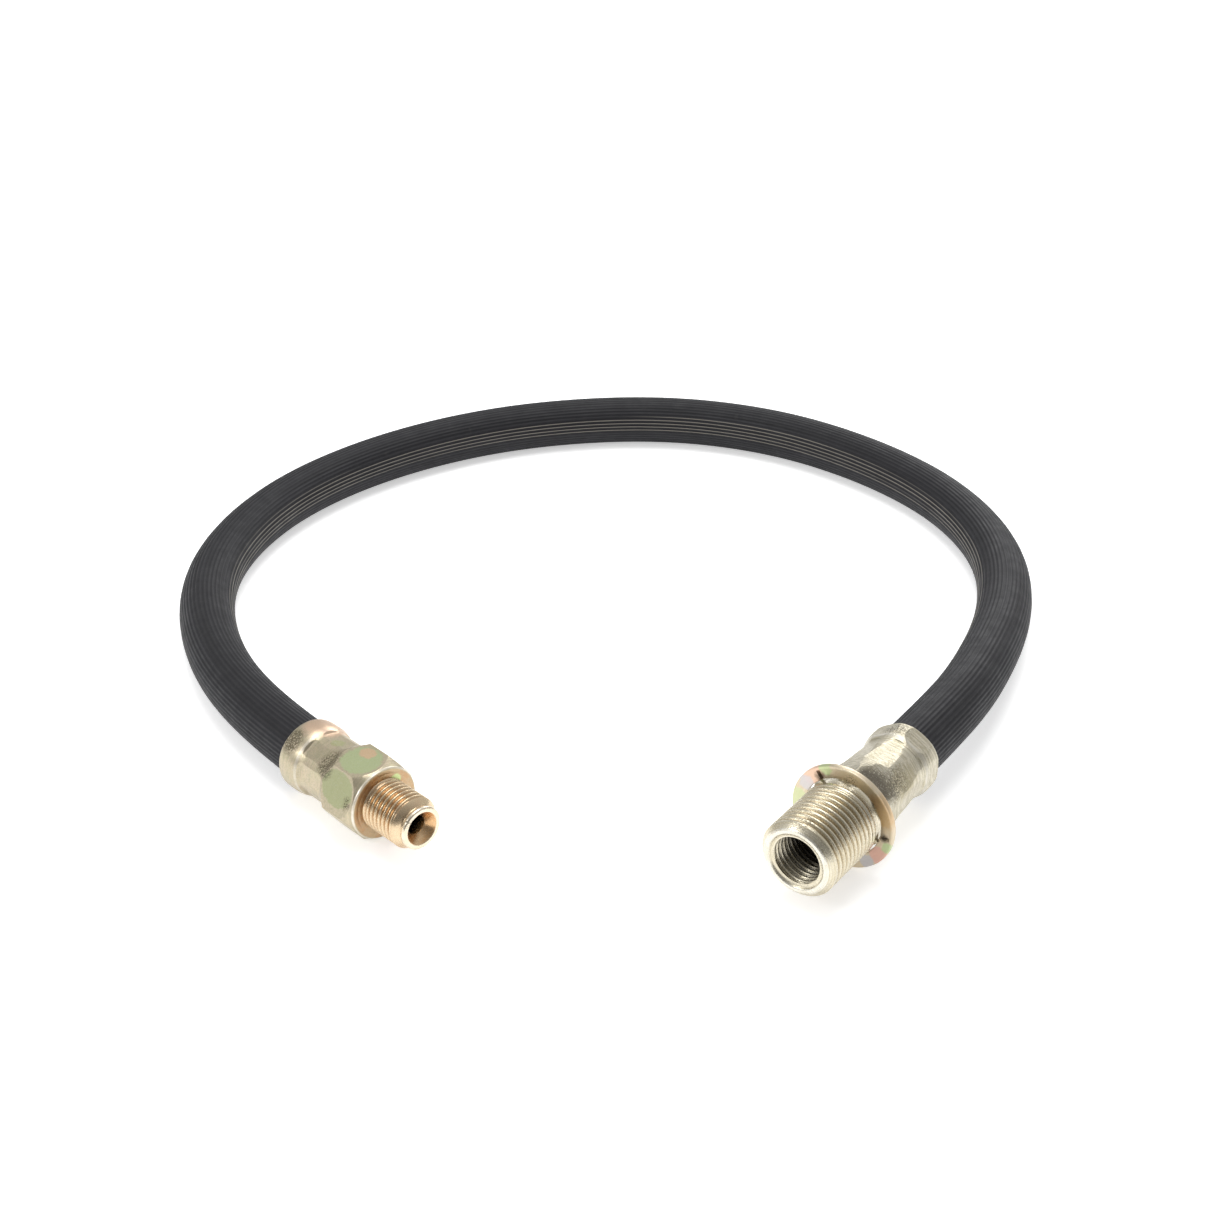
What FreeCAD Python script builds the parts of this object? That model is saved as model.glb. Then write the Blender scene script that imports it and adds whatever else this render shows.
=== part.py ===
import FreeCAD, Part
import math
import os
import Sketcher

# Hydraulic hose assembly, millimetres, +Z up, lying on the plane z = 0.
# A ribbed rubber hose of two braids runs in an open loop between a male and a female end fitting.
# Both fittings are turned along their own local Z, from the tip (0) towards the hose.
# The origin is under the middle of the two fittings.

Vector = FreeCAD.Vector
UP = Vector(0, 0, 1)

# name, value, what it is
DIMENSIONS = [
    # hose, from the bore outwards
    ("bore_dia", 3.4, "bore of the inner tube"),
    ("tube_wall", 1.0, "inner tube"),
    ("braid_wall", 0.4, "each textile braid"),
    ("cushion_wall", 0.35, "rubber between the braids"),
    ("hose_dia", 11.1, "over the cover's ribs"),
    # what both ends share
    ("insert_bore", 2.2, "bore of the steel insert"),
    ("insert_seat", 4.0, "insert's length inside the fitting"),
    ("insert_grip", 10.0, "insert's length inside the hose"),
    ("barb_pitch", 1.8, "spacing of the insert's barbs"),
    ("barb_depth", 0.2, "depth of the grooves between the barbs"),
    ("barb_count", 4, "grooves on an insert"),
    ("cup_bore", 9.95, "bore of the crimped barrel"),
    ("mouth_clearance", 0.15, "gap round the hose in the collar"),
    ("mouth_flare", 0.35, "rounding of the collar's mouth"),
    ("shoulder_len", 2.2, "taper from the barrel to the collar"),
    ("crimp_flats", 8, "flats pressed by the crimping jaws"),
    ("flat_gap", 0.45, "ridge left between two crimp flats"),
    ("flat_depth", 0.3, "depth of a crimp flat at its middle"),
    ("thread_relief", 0.5, "relief behind a thread"),
    # male end
    ("nose_dia", 7.9, "nose ring in front of the thread"),
    ("nose_len", 1.0, "nose ring"),
    ("nose_edge", 0.2, "chamfer of the nose ring"),
    ("nose_groove_dia", 7.2, "groove behind the nose ring"),
    ("nose_groove_len", 0.4, "groove behind the nose ring"),
    ("seat_mouth_dia", 5.6, "mouth of the cone seat"),
    ("seat_bore_dia", 3.4, "bore at the bottom of the cone seat"),
    ("seat_depth", 1.3, "depth of the cone seat"),
    ("male_lead", 1.0, "chamfer in front of the male thread"),
    ("male_thread_dia", 9.45, "male thread, crest"),
    ("thread_depth", 0.6134, "depth of a thread groove, in pitches"),
    ("thread_mouth", 0.875, "mouth of a thread groove, in pitches"),
    ("thread_root", 0.167, "flat root of a thread groove, in pitches"),
    ("male_pitch", 1.058, "male and female thread, 24 to the inch"),
    ("male_turns", 7, "turns of the male thread"),
    ("male_face_dia", 13.4, "washer face of the hexagon"),
    ("male_face_len", 0.5, "washer face to the chamfer"),
    ("male_chamfer", 2.3, "hexagon's front chamfer, along the axis"),
    ("male_hex", 13.6, "hexagon, across flats"),
    ("male_turn", -5.0, "how far the first flat is rolled from the top, degrees"),
    ("male_hex_len", 4.6, "hexagon's corners"),
    ("male_taper", 3.3, "cone from the hexagon to the barrel"),
    ("male_barrel_dia", 12.2, "crimped barrel"),
    ("male_barrel_len", 5.6, "crimped barrel"),
    ("male_collar_dia", 13.4, "bell collar"),
    ("male_collar_len", 3.6, "bell collar"),
    ("male_cup", 10.6, "depth of the hose in the fitting"),
    # female end
    ("mouth_dia", 9.9, "chamfered mouth of the female thread"),
    ("mouth_chamfer", 0.5, "mouth of the female thread"),
    ("female_minor_dia", 8.6, "female thread, crest"),
    ("female_turns", 8, "turns of the female thread"),
    ("undercut_dia", 10.4, "undercut round the seat cone"),
    ("undercut_len", 2.3, "undercut round the seat cone"),
    ("cone_tip_dia", 4.2, "tip of the seat cone"),
    ("cone_base_dia", 7.6, "base of the seat cone"),
    ("cone_height", 2.0, "seat cone"),
    ("bulkhead_dia", 14.0, "bulkhead thread, crest"),
    ("bulkhead_lead", 1.2, "chamfer in front of the bulkhead thread"),
    ("bulkhead_tip_dia", 11.8, "end face"),
    ("bulkhead_pitch", 1.25, "bulkhead thread"),
    ("bulkhead_turns", 10, "turns of the bulkhead thread"),
    ("neck_dia", 12.8, "plain neck behind the bulkhead thread"),
    ("nib_gap", 0.2, "gap from the thread to the staked nibs"),
    ("nib_len", 0.8, "staked nib, along the axis"),
    ("nib_rise", 0.4, "staked nib over the washer's bore, on the radius"),
    ("nib_angle", 7.0, "staked nib, degrees of arc"),
    ("nib_spacing", 133.0, "from one staked nib to the other, degrees"),
    ("washer_play", 0.25, "gap on each side of the flange washer"),
    ("washer_clearance", 0.2, "flange washer over the bulkhead thread"),
    ("washer_dia", 19.3, "flange washer"),
    ("washer_thick", 1.1, "flange washer"),
    ("washer_edge", 0.15, "chamfer of the washer's rim"),
    ("washer_rim", 0.7, "rim left in front of the dished sector"),
    ("dish_depth", 0.3, "dished sector of the washer"),
    ("dish_angle", 133.0, "dished sector of the washer, degrees"),
    ("slit_angle", 2.0, "slit at each end of the sector, degrees"),
    ("washer_turn", -36.0, "where the dished sector starts, degrees from the top"),
    ("female_hex", 12.6, "hexagon behind the washer, across flats"),
    ("female_corner_dia", 14.4, "hexagon behind the washer, over its turned corners"),
    ("female_turn", -36.0, "how far the first nib is rolled from the top, degrees"),
    ("female_hex_len", 4.4, "hexagon's corners"),
    ("female_taper", 3.3, "cone from the hexagon to the barrel"),
    ("female_barrel_dia", 13.0, "crimped barrel next to the hexagon"),
    ("female_waist_dia", 12.1, "crimped barrel next to the collar"),
    ("female_barrel_len", 7.8, "crimped barrel"),
    ("female_collar_dia", 13.6, "bell collar"),
    ("female_collar_len", 3.4, "bell collar"),
    ("female_cup", 11.0, "depth of the hose in the fitting"),
]

# Centreline of the hose, from its cut end in the male fitting to its cut end in the female one.
# The hose lies on the floor and climbs to each fitting's own height in the last few points.
ROUTE = [
    (-45.9, 9.6, 7.15),
    (-60.9, 25.3, 6.75),
    (-76.4, 49.9, 5.8),
    (-83.9, 78.4, 5.55),
    (-80.4, 104.9, 5.55),
    (-67.9, 128.9, 5.55),
    (-45.9, 149.4, 5.55),
    (-18.9, 162.4, 5.55),
    (13.1, 166.4, 5.55),
    (41.1, 158.4, 5.55),
    (63.1, 140.9, 5.55),
    (78.1, 119.4, 5.55),
    (84.6, 94.4, 5.55),
    (81.6, 68.4, 6.0),
    (69.6, 38.4, 8.3),
    (57.1, 18.4, 9.65),
    (46.1, 3.4, 9.65),
]
ARC_SHARE = 0.45  # how much of the shorter run beside a corner its arc takes
BARB_SHARE = 0.8  # where a barb's groove ends, in pitches
OVERCUT = 1.0  # how far a cutting tool starts outside the piece


class Size:
    """A length that knows its value and the expression that gives it."""

    def __init__(self, value, text):
        self.value = value
        self.text = text

    def __add__(self, other):
        return Size(self.value + other.value, f"{self.text} + {other.text}")

    def __sub__(self, other):
        return Size(self.value - other.value, f"{self.text} - ({other.text})")

    def __mul__(self, other):
        if isinstance(other, Size):
            return Size(self.value * other.value, f"({self.text}) * ({other.text})")
        return Size(self.value * other, f"({self.text}) * {other}")

    def __truediv__(self, number):
        return Size(self.value / number, f"({self.text}) / {number}")


doc = FreeCAD.newDocument("hose_assembly")
sheet = doc.addObject("Spreadsheet::Sheet", "dims")
for row, (name, value, note) in enumerate(DIMENSIONS, start=1):
    sheet.set(f"A{row}", name)
    sheet.set(f"B{row}", str(value))
    sheet.set(f"C{row}", note)
    sheet.setAlias(f"B{row}", name)
doc.recompute()


def dim(name):
    return Size(sheet.get(name), f"dims.{name}")


def radius(name):
    return dim(name) / 2


TIP = Size(0.0, "0")
HEX_SIDES = Size(6, "6")
PAIR = Size(2, "2")


def stations(*lengths):
    """Running totals of the named lengths, starting at the tip."""
    totals = [TIP]
    for length in lengths:
        totals.append(totals[-1] + length)
    return totals


# --- sketches and features -------------------------------------------------


def origin_feature(body, role):
    return next(f for f in body.Origin.OriginFeatures if f.Role == role)


def outline_sketch(body, name, corners):
    """A closed outline of (radius, station) corners on the body's XZ plane."""
    sketch = body.newObject("Sketcher::SketchObject", name)
    sketch.AttachmentSupport = [(origin_feature(body, "XZ_Plane"), "")]
    sketch.MapMode = "FlatFace"
    points = [Vector(r.value, z.value, 0) for r, z in corners]
    for start, end in zip(points, points[1:] + points[:1]):
        sketch.addGeometry(Part.LineSegment(start, end), False)
    for i in range(len(points)):
        after = (i + 1) % len(points)
        sketch.addConstraint(Sketcher.Constraint("Coincident", i, 2, after, 1))
    for i, (r, z) in enumerate(corners):
        bind(sketch, "DistanceX", i, r, f"r{i}")
        if z is TIP:
            sketch.addConstraint(Sketcher.Constraint("PointOnObject", i, 1, -1))
        else:
            bind(sketch, "DistanceY", i, z, f"z{i}")
    return sketch


def bind(sketch, kind, line, size, name):
    """Hold the start of a line at a size from the sketch's origin."""
    constraint = Sketcher.Constraint(kind, -1, 1, line, 1, size.value)
    index = sketch.addConstraint(constraint)
    sketch.renameConstraint(index, name)
    sketch.setExpression(f"Constraints.{name}", size.text)


def turn(body, kind, name, corners, angle=None):
    """Revolve an outline about the body's Z axis, all round or through a named angle."""
    sketch = outline_sketch(body, name + "_outline", corners)
    feature = body.newObject(kind, name)
    feature.Profile = sketch
    feature.ReferenceAxis = (sketch, ["V_Axis"])
    feature.Angle = 360
    if angle is not None:
        feature.setExpression("Angle", angle.text)
    body.Tip = feature
    return feature


def new_body(name, corners):
    body = doc.addObject("PartDesign::Body", name)
    body.Label = name
    turn(body, "PartDesign::Revolution", name + "_turned", corners)
    return body


def polar_pattern(body, feature, count, angle=None):
    """Repeat a feature about the body's Z axis."""
    pattern = body.newObject("PartDesign::PolarPattern", feature.Name + "_ring")
    pattern.Originals = [feature]
    pattern.Axis = (origin_feature(body, "Z_Axis"), [""])
    pattern.Angle = 360
    if angle is not None:
        pattern.setExpression("Angle", angle.text)
    pattern.setExpression("Occurrences", count.text)
    body.Tip = pattern


def linear_pattern(body, feature, pitch, count):
    """Repeat a feature along the body's Z axis."""
    pattern = body.newObject("PartDesign::LinearPattern", feature.Name + "_row")
    pattern.Originals = [feature]
    pattern.Direction = (origin_feature(body, "Z_Axis"), [""])
    pattern.setExpression("Length", f"{pitch.text} * ({count.text} - 1)")
    pattern.setExpression("Occurrences", count.text)
    body.Tip = pattern


def side_flats(body, name, apothem, outside, start, end, count, width=None):
    """Cut flats round the body: full ones, or ones of a given width."""
    corners = [(apothem, start), (outside, start), (outside, end), (apothem, end)]
    sketch = outline_sketch(body, name + "_outline", corners)
    flat = body.newObject("PartDesign::Pocket", name)
    flat.Profile = sketch
    flat.SideType = "Symmetric"
    flat.setExpression("Length", (width or outside * 2).text)
    body.Tip = flat
    polar_pattern(body, flat, count)


def thread_grooves(body, name, crest, pitch, count, start, outwards):
    """Ring grooves of a 60 degree thread, cut outwards from a bore or inwards from a shaft."""
    depth = pitch * dim("thread_depth")
    half_mouth = pitch * dim("thread_mouth") / 2
    half_root = pitch * dim("thread_root") / 2
    middle = start + pitch / 2
    root = crest + depth if outwards else crest - depth
    beyond = crest - half_root if outwards else crest + half_root
    corners = [
        (beyond, middle - half_mouth),
        (crest, middle - half_mouth),
        (root, middle - half_root),
        (root, middle + half_root),
        (crest, middle + half_mouth),
        (beyond, middle + half_mouth),
    ]
    groove = turn(body, "PartDesign::Groove", name, corners)
    linear_pattern(body, groove, pitch, count)


# --- hose route ------------------------------------------------------------


def hose_path():
    """Straight runs joined by tangent arcs, and the arcs' radii."""
    points = [Vector(*p) for p in ROUTE]
    edges, radii = [], []
    last = points[0]
    for before, corner, after in zip(points, points[1:], points[2:]):
        back = (before - corner).normalize()
        ahead = (after - corner).normalize()
        cut = ARC_SHARE * min((corner - before).Length, (after - corner).Length)
        half_turn = (math.pi - back.getAngle(ahead)) / 2
        radius_here = cut / math.tan(half_turn)
        start, end = corner + back * cut, corner + ahead * cut
        inward = (back + ahead).normalize()
        middle = corner + inward * (radius_here / math.cos(half_turn) - radius_here)
        edges.append(Part.LineSegment(last, start).toShape())
        edges.append(Part.Arc(start, middle, end).toShape())
        radii.append(radius_here)
        last = end
    edges.append(Part.LineSegment(last, points[-1]).toShape())
    return Part.Wire(edges), radii


path, bend_radii = hose_path()
HOSE_START, HOSE_END = Vector(*ROUTE[0]), Vector(*ROUTE[-1])
MALE_AXIS = (HOSE_START - Vector(*ROUTE[1])).normalize()
FEMALE_AXIS = (HOSE_END - Vector(*ROUTE[-2])).normalize()


def fitting_placement(hose_cut, outward, cup_bottom, roll=0):
    """Local Z runs from the tip to the hose, local X is up, and the cup's bottom is at the cut."""
    tip = hose_cut + outward * cup_bottom.value
    along = outward * -1
    level = FreeCAD.Rotation(UP, along.cross(UP), along, "ZXY")
    return FreeCAD.Placement(tip, level * FreeCAD.Rotation(UP, roll))


def crimp_tool(cup_bottom, barrel_end, outside):
    """What the crimped barrel squeezes out of the cover, in the fitting's own axes."""
    bore = radius("cup_bore").value
    collar_bore = (radius("hose_dia") + dim("mouth_clearance")).value
    taper_end = (barrel_end + dim("shoulder_len")).value
    corners = [
        (bore, cup_bottom.value - OVERCUT),
        (bore, barrel_end.value),
        (collar_bore, taper_end),
        (outside, taper_end),
        (outside, cup_bottom.value - OVERCUT),
    ]
    points = [Vector(r, 0, z) for r, z in corners]
    face = Part.Face(Part.makePolygon(points + points[:1]))
    return face.revolve(Vector(0, 0, 0), UP, 360)


def hose_core(core_radius):
    """A solid rod of the given radius along the route."""
    disc = Part.Face(Part.Wire(Part.Circle(HOSE_START, MALE_AXIS, core_radius).toShape()))
    return path.makePipe(disc)


def hose_layer(name, inner, outer, tools=()):
    """One tubular layer of the hose along the route."""
    tube = hose_core(outer).cut(hose_core(inner))
    section = math.pi * (outer**2 - inner**2)
    print(f"{name}: volume / (section x length) = {tube.Volume / section / path.Length:.5f}")
    for tool in tools:
        tube = tube.cut(tool)
    layer = doc.addObject("Part::Feature", name)
    layer.Label = name
    layer.Shape = tube.Solids[0]
    return layer


# --- inserts ---------------------------------------------------------------


def hose_insert(name):
    """Steel tube pressed into a fitting at its tip (0) and gripped inside the hose."""
    inside, outside = radius("insert_bore"), radius("bore_dia")
    seat, end = stations(dim("insert_seat"), dim("insert_grip"))[1:]
    body = new_body(name, [(inside, TIP), (outside, TIP), (outside, end), (inside, end)])
    depth, pitch = dim("barb_depth"), dim("barb_pitch")
    first = seat + pitch / 2
    barb = [
        (outside + depth, first),
        (outside, first),
        (outside - depth, first + depth),
        (outside, first + pitch * BARB_SHARE),
        (outside + depth, first + pitch * BARB_SHARE),
    ]
    groove = turn(body, "PartDesign::Groove", name + "_barb", barb)
    linear_pattern(body, groove, pitch, dim("barb_count"))
    return body


# --- male fitting ----------------------------------------------------------


def cup_corners(cup_bottom, barrel_end, rim, collar):
    """Collar and cup, from the barrel's outside round the mouth to the cup's bottom."""
    mouth = radius("hose_dia") + dim("mouth_clearance")
    shoulder = barrel_end + dim("shoulder_len")
    round_off = dim("mouth_flare")
    step = round_off * 1.5
    return [
        (collar - round_off, shoulder + step * 0.2),
        (collar, shoulder + step),
        (collar, rim - step * 3),
        (collar - round_off, rim - step),
        (mouth + round_off, rim),
        (mouth, rim - round_off),
        (mouth, shoulder),
        (radius("cup_bore"), barrel_end),
        (radius("cup_bore"), cup_bottom),
    ]


male_thread_len = dim("male_turns") * dim("male_pitch")
male_stations = stations(
    dim("nose_len"),
    dim("nose_groove_len"),
    dim("male_lead"),
    male_thread_len,
    dim("thread_relief"),
    dim("male_face_len"),
    dim("male_chamfer"),
    dim("male_hex_len"),
    dim("male_taper"),
    dim("male_barrel_len"),
    dim("shoulder_len"),
    dim("male_collar_len"),
)


def male_fitting():
    _, nose, groove, lead, thread, face, chamfer, hexagon, taper, barrel, crimp, _, rim = male_stations
    thread_r = radius("male_thread_dia")
    relief_r = thread_r - dim("male_pitch") * dim("thread_depth")
    hex_corner = dim("male_hex") / math.sqrt(3)
    barrel_r = radius("male_barrel_dia")
    seat_r = radius("bore_dia")
    cup_bottom = rim - dim("male_cup")
    seat = cup_bottom - dim("insert_seat")
    corners = [
        (radius("seat_mouth_dia"), TIP),
        (radius("nose_dia") - dim("nose_edge"), TIP),
        (radius("nose_dia"), dim("nose_edge")),
        (radius("nose_dia"), nose),
        (radius("nose_groove_dia"), nose),
        (radius("nose_groove_dia"), groove),
        (thread_r, lead),
        (thread_r, thread),
        (relief_r, thread),
        (relief_r, face),
        (radius("male_face_dia"), face),
        (radius("male_face_dia"), chamfer),
        (hex_corner, hexagon),
        (hex_corner, taper),
        (barrel_r, barrel),
        (barrel_r, crimp),
        *cup_corners(cup_bottom, crimp, rim, radius("male_collar_dia")),
        (seat_r, cup_bottom),
        (seat_r, seat),
        (radius("insert_bore"), seat),
        (radius("insert_bore"), seat - dim("seat_depth")),
        (radius("seat_bore_dia"), seat - dim("seat_depth") * 2),
        (radius("seat_bore_dia"), dim("seat_depth")),
    ]
    body = new_body("male_fitting", corners)
    outside = hex_corner + dim("nose_edge")
    side_flats(body, "male_hex", dim("male_hex") / 2, outside, face, crimp, HEX_SIDES)
    crimp_flats(body, "male_crimp", barrel_r, barrel, crimp)
    thread_grooves(
        body, "male_thread", thread_r, dim("male_pitch"), dim("male_turns"), lead, False
    )
    roll = sheet.get("male_turn")
    body.Placement = fitting_placement(HOSE_START, MALE_AXIS, cup_bottom, roll)
    return body


def crimp_flats(body, name, barrel_r, start, end):
    """Flats pressed into the barrel, with a thin ridge between two of them."""
    depth = dim("flat_depth")
    apothem = barrel_r - depth
    share = Size(math.tan(math.pi / sheet.get("crimp_flats")), "tan(180deg / dims.crimp_flats)")
    width = barrel_r * share * 2 - dim("flat_gap")
    side_flats(
        body, name, apothem, barrel_r + depth, start, end, dim("crimp_flats"), width
    )


# --- female fitting and flange washer --------------------------------------

bulkhead_thread_len = dim("bulkhead_turns") * dim("bulkhead_pitch")
female_stations = stations(
    dim("bulkhead_lead"),
    bulkhead_thread_len,
    dim("nib_gap"),
    dim("nib_len"),
    dim("washer_play"),
    dim("washer_thick"),
    dim("washer_play"),
    dim("female_hex_len"),
    dim("female_taper"),
    dim("female_barrel_len"),
    dim("shoulder_len"),
    dim("female_collar_len"),
)


def female_fitting():
    _, lead, thread, nib, nib_end, _, _, hexagon, taper, barrel, crimp, _, rim = female_stations
    thread_r = radius("bulkhead_dia")
    neck_r = radius("neck_dia")
    hex_corner = radius("female_corner_dia")
    barrel_r = radius("female_barrel_dia")
    waist_r = radius("female_waist_dia")
    bore_r = radius("female_minor_dia")
    pitch = dim("male_pitch")
    thread_end = dim("mouth_chamfer") + pitch * dim("female_turns")
    bottom = thread_end + dim("undercut_len")
    undercut_r = radius("undercut_dia")
    cone_base = radius("cone_base_dia")
    seat_r = radius("bore_dia")
    cup_bottom = rim - dim("female_cup")
    seat = cup_bottom - dim("insert_seat")
    corners = [
        (radius("mouth_dia"), TIP),
        (radius("bulkhead_tip_dia"), TIP),
        (thread_r, lead),
        (thread_r, thread),
        (neck_r, thread),
        (neck_r, hexagon),
        (hex_corner, hexagon),
        (hex_corner, taper),
        (barrel_r, barrel),
        (waist_r, crimp),
        *cup_corners(cup_bottom, crimp, rim, radius("female_collar_dia")),
        (seat_r, cup_bottom),
        (seat_r, seat),
        (radius("insert_bore"), seat),
        (radius("insert_bore"), seat - dim("seat_depth")),
        (radius("seat_bore_dia"), seat - dim("seat_depth") * 2),
        (radius("seat_bore_dia"), bottom - dim("cone_height")),
        (radius("cone_tip_dia"), bottom - dim("cone_height")),
        (cone_base, bottom),
        (undercut_r, bottom),
        (undercut_r, thread_end),
        (bore_r, thread_end),
        (bore_r, dim("mouth_chamfer")),
    ]
    body = new_body("female_fitting", corners)
    outside = hex_corner + dim("nose_edge")
    side_flats(body, "female_hex", dim("female_hex") / 2, outside, hexagon, crimp, HEX_SIDES)
    crimp_flats(body, "female_crimp", barrel_r, barrel, crimp)
    thread_grooves(
        body, "bulkhead_thread", thread_r, dim("bulkhead_pitch"), dim("bulkhead_turns"), lead, False
    )
    thread_grooves(
        body, "port_thread", bore_r, pitch, dim("female_turns"), dim("mouth_chamfer"), True
    )
    nib_r = radius("bulkhead_dia") + dim("washer_clearance") + dim("nib_rise")
    root = neck_r - dim("nib_gap")
    nib_outline = [(root, nib), (neck_r, nib), (nib_r, nib_end), (root, nib_end)]
    staked = turn(
        body, "PartDesign::Revolution", "staked_nib", nib_outline, dim("nib_angle")
    )
    polar_pattern(body, staked, PAIR, dim("nib_spacing"))
    roll = sheet.get("female_turn")
    body.Placement = fitting_placement(HOSE_END, FEMALE_AXIS, cup_bottom, roll)
    return body


def flange_washer(front):
    """Loose washer trapped between the staked nibs and the hexagon, with one dished sector."""
    bore = radius("bulkhead_dia") + dim("washer_clearance")
    rim, edge, thick = radius("washer_dia"), dim("washer_edge"), dim("washer_thick")
    corners = [
        (bore, TIP),
        (rim - edge, TIP),
        (rim, edge),
        (rim, thick - edge),
        (rim - edge, thick),
        (bore, thick),
    ]
    body = new_body("flange_washer", corners)
    inside = bore - edge
    dish_rim = rim - dim("washer_rim")
    dish = [(inside, TIP), (dish_rim, TIP), (dish_rim, dim("dish_depth")), (inside, dim("dish_depth"))]
    turn(body, "PartDesign::Groove", "washer_dish", dish, dim("dish_angle"))
    slit = [(inside, TIP), (dish_rim, TIP), (dish_rim, thick), (inside, thick)]
    groove = turn(body, "PartDesign::Groove", "washer_slit", slit, dim("slit_angle"))
    polar_pattern(body, groove, PAIR, dim("dish_angle"))
    placement = fitting_placement(HOSE_END, FEMALE_AXIS, female_stations[-1] - dim("female_cup"))
    spin = FreeCAD.Placement(
        Vector(0, 0, front.value), FreeCAD.Rotation(UP, sheet.get("washer_turn"))
    )
    body.Placement = placement.multiply(spin)
    return body


# --- assembly --------------------------------------------------------------

male = male_fitting()
female = female_fitting()
washer = flange_washer(female_stations[5])

male_insert = hose_insert("male_insert")
female_insert = hose_insert("female_insert")
male_insert.Placement = fitting_placement(HOSE_START, MALE_AXIS, dim("insert_seat"))
female_insert.Placement = fitting_placement(HOSE_END, FEMALE_AXIS, dim("insert_seat"))

male_cup_bottom = male_stations[-1] - dim("male_cup")
female_cup_bottom = female_stations[-1] - dim("female_cup")
CUT_RADIUS = sheet.get("hose_dia")  # comfortably outside the hose
male_tool = crimp_tool(male_cup_bottom, male_stations[10], CUT_RADIUS)
male_tool.Placement = male.Placement
female_tool = crimp_tool(female_cup_bottom, female_stations[10], CUT_RADIUS)
female_tool.Placement = female.Placement

tube_r = sheet.get("bore_dia") / 2 + sheet.get("tube_wall")
inner_braid_r = tube_r + sheet.get("braid_wall")
cushion_r = inner_braid_r + sheet.get("cushion_wall")
outer_braid_r = cushion_r + sheet.get("braid_wall")
layers = [
    hose_layer("inner_tube", sheet.get("bore_dia") / 2, tube_r),
    hose_layer("inner_braid", tube_r, inner_braid_r),
    hose_layer("cushion_layer", inner_braid_r, cushion_r),
    hose_layer("outer_braid", cushion_r, outer_braid_r),
    hose_layer("hose_cover", outer_braid_r, sheet.get("hose_dia") / 2, (male_tool, female_tool)),
]
doc.recompute()

print("bend radii, mm:", ", ".join(f"{r:.0f}" for r in bend_radii))
print(f"hose length, mm: {path.Length:.1f}")

failed = [o.Name for o in doc.Objects if "Invalid" in o.State or "Error" in o.State]
if failed:
    raise SystemExit(f"failed features: {', '.join(failed)}")

os.makedirs("parts", exist_ok=True)
for piece in [male, male_insert, female, female_insert, washer] + layers:
    if piece.Shape.isNull() or not piece.Shape.isValid() or len(piece.Shape.Solids) != 1:
        raise SystemExit(f"bad shape: {piece.Label}")
    piece.Shape.exportStep(f"parts/{piece.Label}.step")
    print(f"{piece.Label}: {piece.Shape.Volume:.1f} mm3")
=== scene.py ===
import math
import bpy
from mathutils import Matrix, Vector


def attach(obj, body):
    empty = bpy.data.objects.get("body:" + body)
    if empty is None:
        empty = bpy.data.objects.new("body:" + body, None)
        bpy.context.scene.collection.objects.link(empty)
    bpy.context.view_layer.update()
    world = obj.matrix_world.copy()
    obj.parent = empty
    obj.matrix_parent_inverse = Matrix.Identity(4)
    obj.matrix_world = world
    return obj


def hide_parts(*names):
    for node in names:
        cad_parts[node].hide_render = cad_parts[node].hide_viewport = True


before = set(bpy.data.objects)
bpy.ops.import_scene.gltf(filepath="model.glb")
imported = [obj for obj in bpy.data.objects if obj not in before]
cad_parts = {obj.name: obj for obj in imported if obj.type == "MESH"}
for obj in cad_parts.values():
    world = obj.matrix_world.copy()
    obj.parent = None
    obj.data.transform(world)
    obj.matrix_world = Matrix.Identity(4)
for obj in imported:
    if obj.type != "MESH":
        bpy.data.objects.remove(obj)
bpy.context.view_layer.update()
scene = bpy.context.scene
print("frame loaded")

# camera, on the side the hose opens to
cameraView = {"place": (0.0001, -0.2534, 0.1932), "tilt": 60, "lens": 54.32}
cameraData = bpy.data.cameras.new("camera")
cameraData.lens = cameraView["lens"]
camera = bpy.data.objects.new("camera", cameraData)
camera.location = cameraView["place"]
camera.rotation_euler = (math.radians(cameraView["tilt"]), 0, 0)
scene.collection.objects.link(camera)
scene.camera = camera

# hose route, from its cut end in the male fitting to its cut end in the female one
hoseRoute = [
    (-0.0459, 0.0096, 0.00715), (-0.0609, 0.0253, 0.00675), (-0.0764, 0.0499, 0.0058),
    (-0.0839, 0.0784, 0.00555), (-0.0804, 0.1049, 0.00555), (-0.0679, 0.1289, 0.00555),
    (-0.0459, 0.1494, 0.00555), (-0.0189, 0.1624, 0.00555), (0.0131, 0.1664, 0.00555),
    (0.0411, 0.1584, 0.00555), (0.0631, 0.1409, 0.00555), (0.0781, 0.1194, 0.00555),
    (0.0846, 0.0944, 0.00555), (0.0816, 0.0684, 0.006), (0.0696, 0.0384, 0.0083),
    (0.0571, 0.0184, 0.00965), (0.0461, 0.0034, 0.00965),
]
hose = {
    "diameter": 0.0111, "bore": 0.0080, "length": 0.433, "ribs": 42,
    "ribDepths": (0, 0.00002, 0.00017, 0.00002), "stepsPerRun": 13,
}


def smoothLine(points, steps):
    curve = bpy.data.curves.new("hoseLine", "CURVE")
    curve.dimensions = "3D"
    curve.resolution_u = steps
    spline = curve.splines.new("NURBS")
    spline.points.add(len(points) - 1)
    for point, place in zip(spline.points, points):
        point.co = (*place, 1)
    spline.order_u = 3
    spline.use_endpoint_u = True
    line = bpy.data.objects.new("hoseLine", curve)
    scene.collection.objects.link(line)
    bpy.context.view_layer.update()
    evaluated = line.evaluated_get(bpy.context.evaluated_depsgraph_get())
    wire = bpy.data.meshes.new_from_object(evaluated)
    places = [v.co.copy() for v in wire.vertices]
    bpy.data.objects.remove(line)
    return places


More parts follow.
